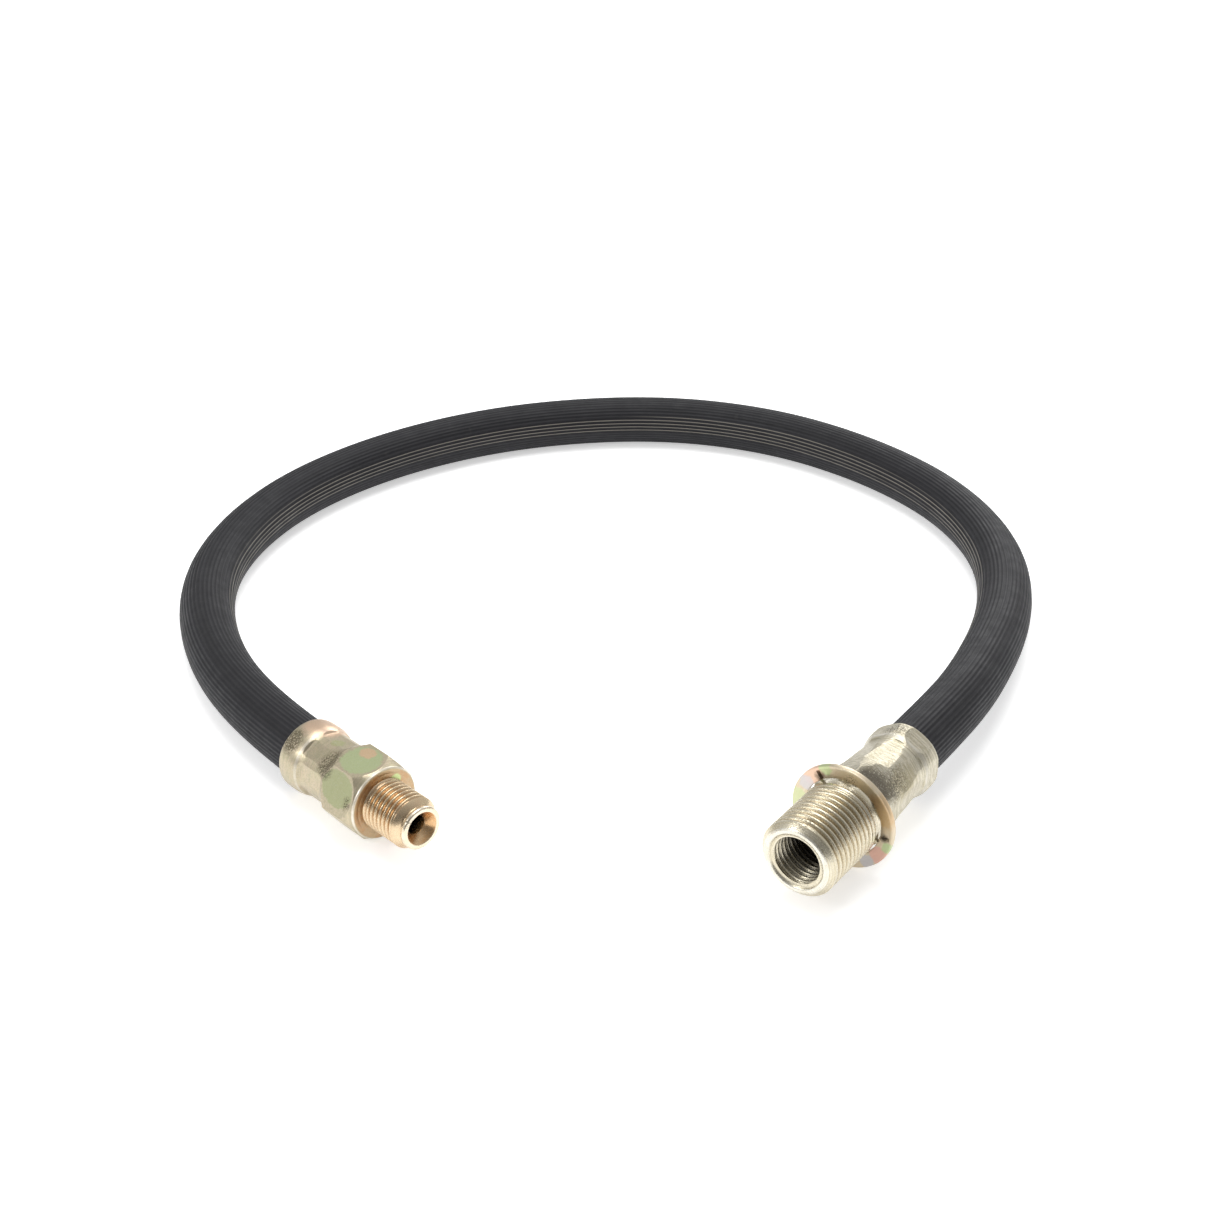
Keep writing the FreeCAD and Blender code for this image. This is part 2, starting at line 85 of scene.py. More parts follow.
def ribbedTube(name, line, settings):
    # rings of the outer wall, then of the bore, each carried along without twist
    depths = settings["ribDepths"]
    around = settings["ribs"] * len(depths)
    runs = [(b - a).normalized() for a, b in zip(line, line[1:])]
    between = [(a + b).normalized() for a, b in zip(runs, runs[1:])]
    tangents = [runs[0]] + between + [runs[-1]]
    up = Vector((0, 0, 1))
    verts, faces, uvs = [], [], []
    reach, rings = 0.0, []
    for i, (place, tangent) in enumerate(zip(line, tangents)):
        side = tangent.cross(up).normalized()
        up = side.cross(tangent).normalized()
        if i:
            reach += (place - line[i - 1]).length
        rings.append((place, side.copy(), up.copy(), reach))
    for outside in (True, False):
        for place, side, lift, _ in rings:
            for k in range(around):
                turn = 2 * math.pi * k / around
                radius = settings["diameter"] / 2 - depths[k % len(depths)] if outside else settings["bore"] / 2
                verts.append(place + (lift * math.cos(turn) + side * math.sin(turn)) * radius)
    count = len(rings)
    for wall in (0, 1):
        base = wall * count * around
        for i in range(count - 1):
            for k in range(around):
                n = (k + 1) % around
                here, ahead = base + i * around, base + (i + 1) * around
                quad = [here + k, ahead + k, ahead + n, here + n]
                where = [(k, i), (k, i + 1), (k + 1, i + 1), (k + 1, i)]
                if not wall:
                    quad.reverse()
                    where.reverse()
                faces.append(quad)
                uvs.extend((a / around, rings[b][3]) for a, b in where)
    inner = count * around
    for k in range(around):
        n = (k + 1) % around
        faces.append([k, n, inner + n, inner + k])
        uvs.extend([(k / around, 0)] * 4)
        last = (count - 1) * around
        faces.append([last + n, last + k, inner + last + k, inner + last + n])
        uvs.extend([(k / around, reach)] * 4)
    mesh = bpy.data.meshes.new(name)
    mesh.from_pydata(verts, [], faces)
    layer = mesh.uv_layers.new(name="alongHose")
    for loop, uv in zip(layer.data, uvs):
        loop.uv = uv
    tube = bpy.data.objects.new(name, mesh)
    scene.collection.objects.link(tube)
    mesh.polygons.foreach_set("use_smooth", [True] * len(mesh.polygons))
    mesh.update()
    return tube


hoseLine = smoothLine(hoseRoute, hose["stepsPerRun"])
hoseTube = ribbedTube("hoseCover", hoseLine, hose)
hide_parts("hose_cover")
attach(hoseTube, "hose_assembly")
print("hose made")

# fittings are turned and cut in millimetres, each along its own axis


def activate(piece):
    bpy.ops.object.select_all(action="DESELECT")
    piece.select_set(True)
    bpy.context.view_layer.objects.active = piece


def lathe(name, rings, segments):
    # a ring is drawn out from station to station, then its two ends are joined
    bpy.ops.object.select_all(action="DESELECT")
    bpy.ops.mesh.primitive_circle_add(vertices=segments, radius=rings[0][0])
    piece = bpy.context.object
    piece.name = name
    bpy.ops.object.mode_set(mode="EDIT")
    bpy.ops.mesh.select_all(action="SELECT")
    bpy.ops.transform.translate(value=(0, 0, rings[0][1]))
    for (r0, z0), (r1, z1) in zip(rings, rings[1:] + rings[:1]):
        bpy.ops.mesh.extrude_region()
        if abs(r1 - r0) > 1e-6:
            bpy.ops.transform.resize(value=(r1 / r0, r1 / r0, 1), center_override=(0, 0, z0))
        if abs(z1 - z0) > 1e-6:
            bpy.ops.transform.translate(value=(0, 0, z1 - z0))
    bpy.ops.mesh.select_all(action="SELECT")
    bpy.ops.mesh.remove_doubles(threshold=0.0005)
    bpy.ops.mesh.normals_make_consistent(inside=False)
    bpy.ops.object.mode_set(mode="OBJECT")
    return piece


def evenRings(radius, start, end, step):
    count = max(1, round((end - start) / step))
    return [(radius, start + (end - start) * i / count) for i in range(count + 1)]


def cutThread(piece, thread):
    # right-hand helix with rounded crests, fading in and out at its ends
    onWall = 0.02
    for v in piece.data.vertices:
        radius = math.hypot(v.co.x, v.co.y)
        z = v.co.z
        if abs(radius - thread["crest"]) > onWall or not thread["start"] <= z <= thread["end"]:
            continue
        turn = (z / thread["pitch"] - math.atan2(v.co.y, v.co.x) / (2 * math.pi)) % 1
        flank = 1 - abs(2 * turn - 1) - thread["crestShare"]
        flank = min(1, max(0, flank / (1 - thread["crestShare"] - thread["rootShare"])))
        fade = min(1, (z - thread["start"]) / thread["fadeIn"], (thread["end"] - z) / thread["fadeOut"])
        rounded = flank * flank * (3 - 2 * flank)
        depth = thread["depth"] * rounded * max(0, fade)
        grown = (radius + depth if thread["inside"] else radius - depth) / radius
        v.co.x *= grown
        v.co.y *= grown


def applyModifier(piece, kind, name, **values):
    activate(piece)
    modifier = piece.modifiers.new(name, kind)
    for key, value in values.items():
        setattr(modifier, key, value)
    bpy.ops.object.modifier_apply(modifier=name)


def bevelEdges(piece, name, angle, width, segments):
    sharp = math.radians(angle)
    applyModifier(piece, "BEVEL", name, limit_method="ANGLE", angle_limit=sharp, width=width, segments=segments)


wornEdge = {"angle": 24, "width": 0.14, "segments": 2}


def keepHexagon(piece, acrossFlats, turn):
    # the turned blank is cut to a hexagon, by a cutter that reaches past both its ends
    low, high = 5, 50
    bpy.ops.object.select_all(action="DESELECT")
    bpy.ops.mesh.primitive_cylinder_add(
        vertices=6, radius=acrossFlats / math.sqrt(3), depth=high - low,
        location=(0, 0, (low + high) / 2), rotation=(0, 0, math.radians(turn)),
    )
    cutter = bpy.context.object
    applyModifier(piece, "BOOLEAN", "flats", operation="INTERSECT", object=cutter, solver="EXACT")
    bpy.data.objects.remove(cutter)


def pressFlats(piece, crimp):
    # the jaws' flats, slightly crowned, with a ridge left between each two
    cutters = []
    for i in range(crimp["count"]):
        turn = math.radians(crimp["turn"] + 360 * i / crimp["count"])
        bpy.ops.object.select_all(action="DESELECT")
        start, end = crimp["start"], crimp["end"]
        bpy.ops.mesh.primitive_cylinder_add(vertices=72, radius=crimp["crown"], depth=end - start)
        jaw = bpy.context.object
        out = crimp["apothem"] + crimp["crown"]
        jaw.location = (math.cos(turn) * out, math.sin(turn) * out, (start + end) / 2)
        bevelEdges(jaw, "ends", 60, crimp["slope"], 3)
        cutters.append(jaw)
    for jaw in cutters:
        applyModifier(piece, "BOOLEAN", "crimp", operation="DIFFERENCE", object=jaw, solver="EXACT")
        bpy.data.objects.remove(jaw)


def seat(piece, placing, material, body, smoothAngle, flatFaces=False):
    piece.data.transform(placing @ Matrix.Scale(0.001, 4))
    piece.data.materials.clear()
    piece.data.materials.append(material)
    activate(piece)
    bpy.ops.object.shade_smooth_by_angle(angle=math.radians(smoothAngle))
    if flatFaces:
        applyModifier(piece, "WEIGHTED_NORMAL", "flatShading", keep_sharp=True, weight=100)
    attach(piece, body)


def fittingPlace(cut, before, reach):
    # local Z runs from the tip to the hose, local X is up
    outward = (Vector(cut) - Vector(before)).normalized()
    along = -outward
    side = along.cross(Vector((0, 0, 1))).normalized()
    up = side.cross(along)
    turned = Matrix((up, side, along)).transposed().to_4x4()
    return Matrix.Translation(Vector(cut) + outward * reach) @ turned


# helpers for shader trees


def newGroup(name, inputs, outputs):
    tree = bpy.data.node_groups.new(name, "ShaderNodeTree")
    for label, kind, value in inputs:
        socket = tree.interface.new_socket(name=label, in_out="INPUT", socket_type=kind)
        if value is not None:
            socket.default_value = value
    for label, kind in outputs:
        tree.interface.new_socket(name=label, in_out="OUTPUT", socket_type=kind)
    return tree, tree.nodes.new("NodeGroupInput"), tree.nodes.new("NodeGroupOutput")


def addNode(tree, kind, links=None, **values):
    node = tree.nodes.new(kind)
    for key, value in values.items():
        setattr(node, key, value)
    for key, value in (links or {}).items():
        if isinstance(value, bpy.types.NodeSocket):
            tree.links.new(value, node.inputs[key])
        else:
            node.inputs[key].default_value = value
    return node


def useGroup(tree, group, spot, values):
    node = addNode(tree, "ShaderNodeGroup", node_tree=group)
    tree.links.new(spot, node.inputs["Vector"])
    for label, value in values.items():
        node.inputs[label].default_value = value
    return node


def mathNode(tree, operation, a, b=None, clamp=False):
    links = {0: a}
    if b is not None:
        links[1] = b
    return addNode(tree, "ShaderNodeMath", links, operation=operation, use_clamp=clamp).outputs[0]


def product(tree, first, *others):
    for other in others:
        first = mathNode(tree, "MULTIPLY", first, other)
    return first


def vectorMath(tree, operation, links, output=0):
    return addNode(tree, "ShaderNodeVectorMath", links, operation=operation).outputs[output]


def mixColour(tree, factor, a, b):
    return addNode(tree, "ShaderNodeMix", {0: factor, 6: a, 7: b}, data_type="RGBA").outputs[2]


def ramp(tree, value, low, high, outLow=0.0, outHigh=1.0):
    links = {0: value, 1: low, 2: high, 3: outLow, 4: outHigh}
    return addNode(tree, "ShaderNodeMapRange", links).outputs[0]


def window(tree, value, low, high, outside, inside):
    rising = ramp(tree, value, low - outside, low + inside)
    return product(tree, rising, ramp(tree, value, high + outside, high - inside))


def noise(tree, vector, scale, detail=4.0, rough=0.55):
    links = {"Vector": vector, "Scale": scale, "Detail": detail, "Roughness": rough}
    return addNode(tree, "ShaderNodeTexNoise", links)


def bumped(tree, shader, height, strength):
    bump = addNode(tree, "ShaderNodeBump", {"Height": height, "Strength": strength, "Distance": 0.0001})
    tree.links.new(bump.outputs[0], shader.inputs["Normal"])


def makePatchGroup():
    # a blotch round a place, with a ragged edge
    tree, inside, out = newGroup("blotch", [
        ("Vector", "NodeSocketVector", None), ("Centre", "NodeSocketVector", None),
        ("Stretch", "NodeSocketVector", (1, 1, 1)), ("Size", "NodeSocketFloat", 1.0),
        ("Softness", "NodeSocketFloat", 0.3), ("Ragged", "NodeSocketFloat", 0.6),
    ], [("Mask", "NodeSocketFloat")])
    given = inside.outputs
    wobble = noise(tree, given["Vector"], 0.9, 8, 0.72).outputs["Color"]
    shift = vectorMath(tree, "SUBTRACT", {0: wobble, 1: (0.5, 0.5, 0.5)})
    shift = vectorMath(tree, "SCALE", {0: shift, "Scale": given["Ragged"]})
    spot = vectorMath(tree, "SUBTRACT", {0: given["Vector"], 1: given["Centre"]})
    spot = vectorMath(tree, "MULTIPLY", {0: spot, 1: given["Stretch"]})
    spot = vectorMath(tree, "ADD", {0: spot, 1: shift})
    far = vectorMath(tree, "LENGTH", {0: spot}, "Value")
    edge = mathNode(tree, "SUBTRACT", given["Size"], given["Softness"])
    tree.links.new(ramp(tree, far, given["Size"], edge), out.inputs["Mask"])
    return tree


def makeSpeckleGroup():
    # scattered specks where the plating is scuffed
    tree, inside, out = newGroup("speckle", [
        ("Vector", "NodeSocketVector", None), ("Scale", "NodeSocketFloat", 6.0), ("Amount", "NodeSocketFloat", 0.4),
    ], [("Mask", "NodeSocketFloat")])
    given = inside.outputs
    grain = noise(tree, given["Vector"], given["Scale"], 6, 0.7).outputs[0]
    low = mathNode(tree, "SUBTRACT", 0.66, product(tree, given["Amount"], 0.3))
    tree.links.new(ramp(tree, grain, low, mathNode(tree, "ADD", low, 0.04)), out.inputs["Mask"])
    return tree


def makeTurningGroup():
    # fine lines round the axis, left by the tool, and where a point lies about it
    tree, inside, out = newGroup("turning", [
        ("Vector", "NodeSocketVector", None), ("Density", "NodeSocketFloat", 6.0),
    ], [(label, "NodeSocketFloat") for label in ("Height", "Radius", "Station")])
    density = inside.outputs["Density"]
    x, y, z = addNode(tree, "ShaderNodeSeparateXYZ", {0: inside.outputs["Vector"]}).outputs
    radius = mathNode(tree, "SQRT", mathNode(tree, "ADD", product(tree, x, x), product(tree, y, y)))
    turn = mathNode(tree, "ARCTAN2", y, x)
    lines = addNode(tree, "ShaderNodeCombineXYZ", {
        0: product(tree, z, density), 1: product(tree, radius, density), 2: product(tree, turn, 0.35),
    }).outputs[0]
    tree.links.new(noise(tree, lines, 1.0, 3, 0.6).outputs[0], out.inputs["Height"])
    tree.links.new(radius, out.inputs["Radius"])
    tree.links.new(z, out.inputs["Station"])
    return tree


blotchGroup, speckleGroup, turningGroup = makePatchGroup(), makeSpeckleGroup(), makeTurningGroup()

# plated steel: a blotch gives centre, stretch, size, softness, raggedness, colour and strength,
# a scuff gives centre, stretch, size, softness and amount, in the fitting's own millimetres
plating = {
    # the bore colour is painted shade for the bottom of bores, then the scuff settings
    "boreShade": (0.012, 0.010, 0.008, 1), "fleckColour": (0.62, 0.60, 0.62, 1),
    "scuffRagged": 1.2, "scuffGrain": 3.4, "scuffTint": 0.8, "scuffRoughness": 0.25, "scuffRelief": 0.12,
}


def fittingSpot(tree, placing):
    # a place on the fitting, in millimetres along and about its own axis
    spot = addNode(tree, "ShaderNodeTexCoord").outputs["Object"]
    local = addNode(tree, "ShaderNodeMapping", {"Vector": spot}, vector_type="TEXTURE")
    local.inputs["Location"].default_value = placing.to_translation()
    local.inputs["Rotation"].default_value = placing.to_euler()
    local.inputs["Scale"].default_value = (0.001, 0.001, 0.001)
    return local.outputs[0]


def shadeGrooves(tree, colour, turning, finish):
    # painted shade: the colour of the thread grooves darkens towards a deep orange brown with their depth
    crest, root, tint = finish["groove"]
    first, last = finish["grooveZone"]
    deep = ramp(tree, turning["Radius"], crest, root, 0.0, 0.85)
    zone = product(
        tree, mathNode(tree, "GREATER_THAN", turning["Station"], first),
        mathNode(tree, "LESS_THAN", turning["Station"], last),
        mathNode(tree, "GREATER_THAN", turning["Radius"], min(crest, root) - 0.1),
    )
    return mixColour(tree, product(tree, deep, zone), colour, tint)


def tintBandsAndHighlights(tree, colour, turning, slow, finish):
    # a band gives a face its own colour, or puts a painted highlight round a rim or shoulder
    for low, high, inner, outer, tint, strength in finish["bands"]:
        within = window(tree, turning["Station"], low, high, 0.06, 0.02)
        ring = window(tree, turning["Radius"], inner, outer, 0.06, 0.04)
        uneven = ramp(tree, slow, 0.4, 0.56, 0.6, 1.0)
        colour = mixColour(tree, product(tree, within, ring, uneven, strength), colour, tint)
    return colour


def paintBoreShade(tree, colour, turning, finish):
    # painted shade: the colour darkens towards the bottom of the bore, where light hardly reaches
    boreRadius, near, deep = finish["bore"]
    boreShadeMask = product(
        tree, ramp(tree, turning["Station"], near, deep, 0.0, 0.96),
        mathNode(tree, "LESS_THAN", turning["Radius"], boreRadius),
    )
    return mixColour(tree, boreShadeMask, colour, plating["boreShade"])


def addBlotches(tree, colour, spot, finish):
    for centre, stretch, size, softness, ragged, tint, strength in finish["blotches"]:
        shape = {"Centre": centre, "Stretch": stretch, "Size": size, "Softness": softness, "Ragged": ragged}
        mask = useGroup(tree, blotchGroup, spot, shape).outputs[0]
        colour = mixColour(tree, product(tree, mask, strength), colour, tint)
    return colour


def addFlecks(tree, colour, spot, finish):
    # pale flecks and dull specks all over the handled plating
    flecks = ramp(tree, noise(tree, spot, 5.5, 8, 0.75).outputs[0], 0.58, 0.62)
    colour = mixColour(tree, product(tree, flecks, finish["flecks"]), colour, plating["fleckColour"])
    specks = ramp(tree, noise(tree, spot, 8.5, 6, 0.7).outputs[0], 0.40, 0.36)
    return mixColour(tree, product(tree, specks, finish["flecks"]), colour, finish["grime"])


def scuffMask(tree, spot, finish):
    grime = None
    for centre, stretch, size, softness, amount in finish["scuffs"]:
        shape = {
            "Centre": centre, "Stretch": stretch, "Size": size, "Softness": softness,
            "Ragged": plating["scuffRagged"],
        }
        grain = {"Scale": plating["scuffGrain"], "Amount": amount}
        blotch = useGroup(tree, blotchGroup, spot, shape)
        speckle = useGroup(tree, speckleGroup, spot, grain)
        mask = product(tree, blotch.outputs[0], speckle.outputs[0])
        grime = mask if grime is None else mathNode(tree, "MAXIMUM", grime, mask)
    return grime


def platedSteel(name, placing, finish):
    material = bpy.data.materials.new(name)
    material.use_nodes = True
    tree = material.node_tree
    shader = tree.nodes["Principled BSDF"]
    spot = fittingSpot(tree, placing)
    turning = useGroup(tree, turningGroup, spot, {"Density": finish["turningDensity"]}).outputs
    slow = noise(tree, spot, 0.45, 3).outputs[0]
    fine = noise(tree, spot, 3.2, 6, 0.65).outputs[0]

    colour = mixColour(tree, ramp(tree, slow, 0.35, 0.65), finish["base"], finish["second"])
    mottle = ramp(tree, fine, 0.3, 0.75, 0.0, finish["mottle"])
    colour = mixColour(tree, mottle, colour, finish["mottleColour"])
    lines = ramp(tree, turning["Height"], 0.42, 0.6, 0.0, finish["lineTint"])
    colour = mixColour(tree, lines, colour, finish["lineColour"])
    # painted shade in the thread grooves
    if finish["groove"]:
        colour = shadeGrooves(tree, colour, turning, finish)
    colour = tintBandsAndHighlights(tree, colour, turning, slow, finish)
    colour = paintBoreShade(tree, colour, turning, finish)
    colour = addBlotches(tree, colour, spot, finish)
    colour = addFlecks(tree, colour, spot, finish)
    grime = scuffMask(tree, spot, finish)
    colour = mixColour(tree, product(tree, grime, plating["scuffTint"]), colour, finish["grime"])
    tree.links.new(colour, shader.inputs["Base Color"])
    shader.inputs["Metallic"].default_value = 1.0

    rough = ramp(tree, fine, 0.3, 0.7, finish["roughness"] - 0.06, finish["roughness"] + 0.08)
    rough = mathNode(tree, "ADD", rough, product(tree, grime, plating["scuffRoughness"]), clamp=True)
    tree.links.new(rough, shader.inputs["Roughness"])
    toolMarks = product(tree, turning["Height"], finish["turningDepth"])
    relief = mathNode(tree, "ADD", toolMarks, product(tree, fine, finish["dentDepth"]))
    relief = mathNode(tree, "SUBTRACT", relief, product(tree, grime, plating["scuffRelief"]))
    bumped(tree, shader, relief, finish["relief"])
    return material


# male fitting, with the bottom of its hose cup this far behind the tip
maleCupBottom = 0.021806
malePlace = fittingPlace(hoseRoute[0], hoseRoute[1], maleCupBottom)
maleFinish = {
    "base": (0.50, 0.44, 0.30, 1), "second": (0.55, 0.45, 0.34, 1),
    "mottle": 0.85, "mottleColour": (0.33, 0.32, 0.22, 1), "flecks": 0.45,
    "groove": None, "bore": (1.8, 1.0, 4.0), "relief": 0.55,
    "bands": [
        (10.0, 10.42, 4.4, 6.4, (0.50, 0.30, 0.15, 1), 0.8),
        # painted highlight: a pale band round the rounded rim at the front of the hexagon
        (10.3, 10.75, 6.56, 6.84, (0.80, 0.75, 0.66, 1), 0.8),
        # painted highlight: a pale band round the shoulder of the collar
        (27.4, 27.9, 6.15, 6.6, (0.78, 0.75, 0.70, 1), 0.35),
    ],
    "lineTint": 0.25, "lineColour": (0.78, 0.66, 0.45, 1),
    "turningDensity": 7.0, "turningDepth": 0.35, "dentDepth": 0.5,
    "roughness": 0.36, "grime": (0.10, 0.085, 0.055, 1),
    "blotches": [
        ((6.8, -0.6, 15.2), (1.0, 0.8, 0.75), 3.0, 0.25, 1.6, (0.45, 0.53, 0.29, 1), 0.8),
        ((6.8, 1.4, 15.9), (1.0, 1.0, 0.8), 1.5, 0.3, 1.5, (0.68, 0.46, 0.30, 1), 0.8),
        ((3.4, -6.0, 15.4), (1.0, 0.8, 0.75), 3.2, 0.25, 1.2, (0.34, 0.37, 0.20, 1), 0.8),
        ((3.6, 2.6, 10.4), (1.0, 1.0, 0.6), 1.3, 0.2, 0.8, (0.52, 0.66, 0.30, 1), 0.8),
        ((5.8, 3.0, 29.5), (0.7, 0.6, 0.8), 3.4, 0.9, 1.4, (0.72, 0.50, 0.36, 1), 0.65),
        ((5.8, 0.5, 23.5), (0.8, 0.8, 0.8), 1.2, 0.4, 1.2, (0.42, 0.44, 0.22, 1), 0.7),
    ],
    "scuffs": [
        ((5.4, -4.4, 30.6), (1.0, 0.7, 1.0), 2.6, 1.2, 0.75),
        ((5.2, -4.0, 20.4), (0.8, 0.7, 0.8), 2.5, 0.8, 0.7),
        ((2.0, -6.4, 12.2), (1.0, 1.0, 1.4), 1.6, 0.8, 0.6),
    ],
}
maleThreadFinish = {
    **maleFinish, "flecks": 0.25,
    "bands": [
        (-0.1, 0.5, 3.1, 4.0, (0.82, 0.76, 0.64, 1), 0.7),
        (0.1, 1.9, 1.8, 3.15, (0.62, 0.36, 0.16, 1), 0.8),
    ],
    "base": (0.70, 0.57, 0.38, 1), "second": (0.66, 0.50, 0.33, 1), "mottle": 0.3, "relief": 0.22,
    "mottleColour": (0.62, 0.42, 0.24, 1), "roughness": 0.26, "blotches": [], "turningDensity": 9.0,
    # the groove entry is painted shade in the thread grooves: crest radius, root radius and shade colour
    "groove": (4.7, 4.2, (0.42, 0.24, 0.12, 1)), "grooveZone": (2.4, 10.3),
    "scuffs": [((2.5, -2.5, 0.8), (1.0, 1.0, 1.0), 1.4, 0.8, 0.6)],
}
maleSteel = platedSteel("yellowPlating", malePlace, maleFinish)
maleGold = platedSteel("threadPlating", malePlace, maleThreadFinish)

maleThread = {
    "crest": 4.725, "pitch": 1.058, "depth": 0.56, "start": 2.4, "end": 10.3, "crestShare": 0.12, "rootShare": 0.08,
    "fadeIn": 0.5, "fadeOut": 0.6, "inside": False,
}
nose = lathe("maleThread", [
    (2.98, 0.14), (3.08, 0.03), (3.22, 0.0), (3.58, 0.0), (3.78, 0.05),
    (3.9, 0.18), (3.95, 0.4), (3.95, 0.75), (3.9, 0.92), (3.75, 1.0), (3.64, 1.03),
    (3.6, 1.1), (3.6, 1.3), (3.66, 1.4), (3.8, 1.46), (4.2, 1.83), (4.6, 2.22),
    *evenRings(4.725, 2.4, 10.3, 0.075), (4.3, 10.4), (4.3, 11.2),
    (1.25, 11.2), (1.25, 5.0), (1.62, 4.6), (1.7, 4.4), (1.7, 1.72), (1.76, 1.6),
], 144)
cutThread(nose, maleThread)
seat(nose, malePlace, maleGold, "hose_assembly", 50)

maleHexagon = {"acrossFlats": 13.6, "turn": -5}
maleBody = lathe("maleBody", [
    (4.25, 10.55), (4.35, 10.35), (4.6, 10.306), (5.5, 10.306), (5.6, 10.33), (5.7, 10.306), (6.4, 10.306),
    (6.62, 10.36), (6.7, 10.5), (6.72, 10.76), (7.3, 11.77), (7.85, 12.75), (7.9, 13.1), (7.9, 17.7), (7.55, 18.2),
    (7.0, 19.2), (6.5, 20.2), (6.2, 20.9), (6.1, 21.5), (6.08, 23.0), (6.08, 25.9), (6.12, 26.5), (6.22, 27.0),
    (6.42, 27.6), (6.6, 28.2), (6.7, 28.9), (6.72, 30.0), (6.7, 31.2), (6.62, 31.9),
    (6.45, 32.25), (6.2, 32.4), (5.95, 32.36), (5.76, 32.2), (5.7, 31.9), (5.7, 29.0), (4.9, 26.8), (4.25, 26.0),
], 160)
keepHexagon(maleBody, maleHexagon["acrossFlats"], maleHexagon["turn"])
maleCrimp = {"count": 8, "turn": 14, "crown": 40.0, "apothem": 5.80, "start": 20.0, "end": 27.6, "slope": 1.1}
pressFlats(maleBody, maleCrimp)
bevelEdges(maleBody, "edges", **wornEdge)
seat(maleBody, malePlace, maleSteel, "hose_assembly", 40, True)
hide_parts("male_fitting")
print("male fitting made")

# female fitting, with the bottom of its hose cup this far behind the tip
femaleCupBottom = 0.0264
femalePlace = fittingPlace(hoseRoute[-1], hoseRoute[-2], femaleCupBottom)
femaleFinish = {
    "base": (0.48, 0.43, 0.30, 1), "second": (0.55, 0.49, 0.36, 1),
    "mottle": 0.9, "mottleColour": (0.34, 0.32, 0.24, 1), "flecks": 0.45, "groove": None,
    # painted highlight: a pale band round the shoulder of the collar
    "bands": [(32.9, 33.5, 6.1, 6.75, (0.74, 0.72, 0.68, 1), 0.4)],
    "bore": (5.0, 1.2, 7.0), "relief": 0.6,
    "lineTint": 0.5, "lineColour": (0.80, 0.76, 0.65, 1),
    "turningDensity": 3.2, "turningDepth": 2.2, "dentDepth": 0.9,
    "roughness": 0.36, "grime": (0.12, 0.105, 0.08, 1),
    "blotches": [
        ((5.6, 3.2, 18.6), (1.0, 0.8, 0.9), 3.0, 0.5, 1.5, (0.24, 0.22, 0.18, 1), 0.85),
        ((3.0, 6.0, 26.0), (0.8, 0.7, 0.5), 2.6, 1.2, 1.5, (0.50, 0.44, 0.28, 1), 0.6),
    ],
    "scuffs": [
        ((5.4, 3.6, 19.6), (0.9, 0.6, 0.7), 3.6, 1.6, 0.9),
        ((5.8, -1.0, 35.0), (0.8, 0.7, 1.0), 2.2, 1.2, 0.6),
        ((4.0, 5.2, 23.0), (0.8, 0.6, 0.4), 2.8, 1.8, 0.65),
    ],
}
femaleThreadFinish = {
    **femaleFinish, "flecks": 0.3, "bands": [(-0.1, 0.3, 5.1, 6.1, (0.82, 0.80, 0.74, 1), 0.6)],
    "base": (0.60, 0.53, 0.37, 1), "second": (0.64, 0.57, 0.42, 1), "mottle": 0.5, "roughness": 0.27, "relief": 0.22,
    # the groove entry is painted shade in the thread grooves
    "blotches": [], "groove": (6.95, 6.45, (0.34, 0.25, 0.13, 1)), "grooveZone": (1.6, 14.0), "turningDensity": 8.0,
    "scuffs": [((6.8, 0.5, 2.0), (1.0, 1.0, 1.0), 2.0, 1.0, 0.5)],
}
femaleSteel = platedSteel("palePlating", femalePlace, femaleFinish)
femaleGold = platedSteel("bulkheadPlating", femalePlace, femaleThreadFinish)

bulkheadThread = {
    "crest": 7.0, "pitch": 1.25, "depth": 0.6, "start": 1.15, "end": 13.9, "crestShare": 0.16, "rootShare": 0.06,
    "fadeIn": 1.0, "fadeOut": 1.6, "inside": False,
}
portThread = {
    "crest": 4.3, "pitch": 1.058, "depth": 0.56, "start": 0.44, "end": 9.0, "crestShare": 0.14, "rootShare": 0.08,
    "fadeIn": 0.05, "fadeOut": 0.5, "inside": True,
}
stakes = {"angles": (-32.5, 100.5), "width": 4.0, "low": 14.0, "high": 14.75, "radius": 7.6, "neck": 6.3}
bulkhead = lathe("bulkheadThread", [
    (5.18, 0.06), (5.3, 0.0), (5.7, 0.0), (5.85, 0.05), (6.0, 0.16), (6.35, 0.5), (6.75, 0.92),
    *evenRings(7.0, 1.15, 13.9, 0.085), (6.5, 13.95), (6.42, 14.0), *evenRings(6.4, 14.1, 14.8, 0.1), (6.4, 16.9),
    (1.3, 16.9), (1.3, 10.5), (1.7, 10.0), (1.7, 7.5), (2.05, 7.42), (2.2, 7.5),
    (3.75, 9.4), (4.0, 9.46), (4.25, 9.3),
    *evenRings(4.3, 0.45, 9.0, 0.085)[::-1], (4.86, 0.4), (5.0, 0.24),
], 168)
cutThread(bulkhead, bulkheadThread)
cutThread(bulkhead, portThread)
for v in bulkhead.data.vertices:
    radius = math.hypot(v.co.x, v.co.y)
    # the neck is staked outwards at two places, to hold the washer
    if radius > stakes["neck"] and stakes["low"] < v.co.z < stakes["high"]:
        angle = math.degrees(math.atan2(v.co.y, v.co.x))
        near = max(max(0, 1 - abs(angle - middle) / stakes["width"]) for middle in stakes["angles"])
        lift = (stakes["radius"] - radius) * math.sqrt(near)
        v.co.x *= 1 + lift / radius
        v.co.y *= 1 + lift / radius
seat(bulkhead, femalePlace, femaleGold, "hose_assembly", 50)

